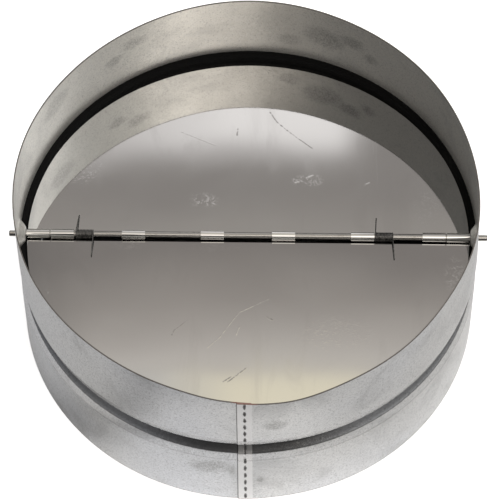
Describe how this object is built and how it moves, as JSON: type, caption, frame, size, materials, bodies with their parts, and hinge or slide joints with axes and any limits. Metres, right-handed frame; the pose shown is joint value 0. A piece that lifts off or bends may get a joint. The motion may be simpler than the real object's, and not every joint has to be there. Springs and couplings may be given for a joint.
{
  "type": "backdraft damper",
  "caption": "Round galvanised duct sleeve with two half-round spring-loaded blades on a cross rod, closing onto a soft ring so air passes one way only.",
  "frame": {"origin": "centre of the sleeve's inlet end, in the plane that it stands on", "axes": "+Z along the duct from the inlet to the outlet, the way air may pass; X along the hinge rod; -Y towards the lap seam"},
  "size_m": [0.315, 0.3036, 0.133],
  "materials": {
    "galvanised_sheet": "galvanised sheet steel with fine spangle and handling marks",
    "black_rubber": "matt black soft rubber",
    "rod_steel": "bright drawn steel rod",
    "blade_sheet": "smooth mill-finish aluminium sheet with light scratches",
    "spring_wire": "dark spring steel wire"
  },
  "bodies": {
    "housing": {"sleeve": "galvanised_sheet", "seal_ring": "black_rubber", "hinge_rod": "rod_steel", "left_spring": "spring_wire", "right_spring": "spring_wire"},
    "far_leaf": {"far_blade": "blade_sheet"},
    "near_leaf": {"near_blade": "blade_sheet"}
  },
  "joints": [
    {"name": "far_blade_swing", "type": "hinge", "parent": "housing", "child": "far_leaf", "pos_m": [0, 0, 0.0822], "axis": [1, 0, 0], "range_deg": [0, 85], "stiffness_Nm_per_rad": 0.012, "springref_deg": -68.75, "deforming": ["left_spring", "right_spring"]},
    {"name": "near_blade_swing", "type": "hinge", "parent": "housing", "child": "near_leaf", "pos_m": [0, 0, 0.0822], "axis": [-1, 0, 0], "range_deg": [0, 85], "stiffness_Nm_per_rad": 0.012, "springref_deg": -68.75, "deforming": ["left_spring", "right_spring"]}
  ]
}
